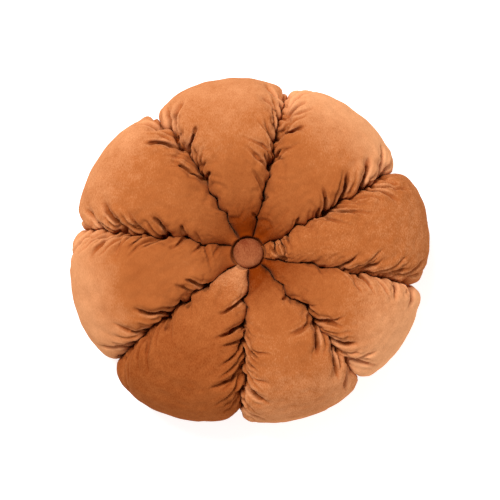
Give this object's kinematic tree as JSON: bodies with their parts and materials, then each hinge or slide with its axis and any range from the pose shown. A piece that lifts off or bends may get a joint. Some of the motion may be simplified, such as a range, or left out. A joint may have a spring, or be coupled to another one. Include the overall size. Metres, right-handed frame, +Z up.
{
  "type": "flower cushion",
  "caption": "Round floor or sofa cushion of filled velvet petals sewn side by side, gathered at their seams and drawn in at the middle under a covered button.",
  "frame": {"origin": "on the surface that the cushion lies on, under the middle of its outline", "axes": "+Z up out of the face with the button, +Y towards the top petal"},
  "size_m": [0.4488, 0.4306, 0.1522],
  "materials": {
    "velvet_cover": "caramel brown short-pile velvet",
    "velvet_button": "the same velvet stretched over a button shell"
  },
  "bodies": {
    "root": {"cushion": "velvet_cover", "button": "velvet_button"}
  },
  "joints": []
}
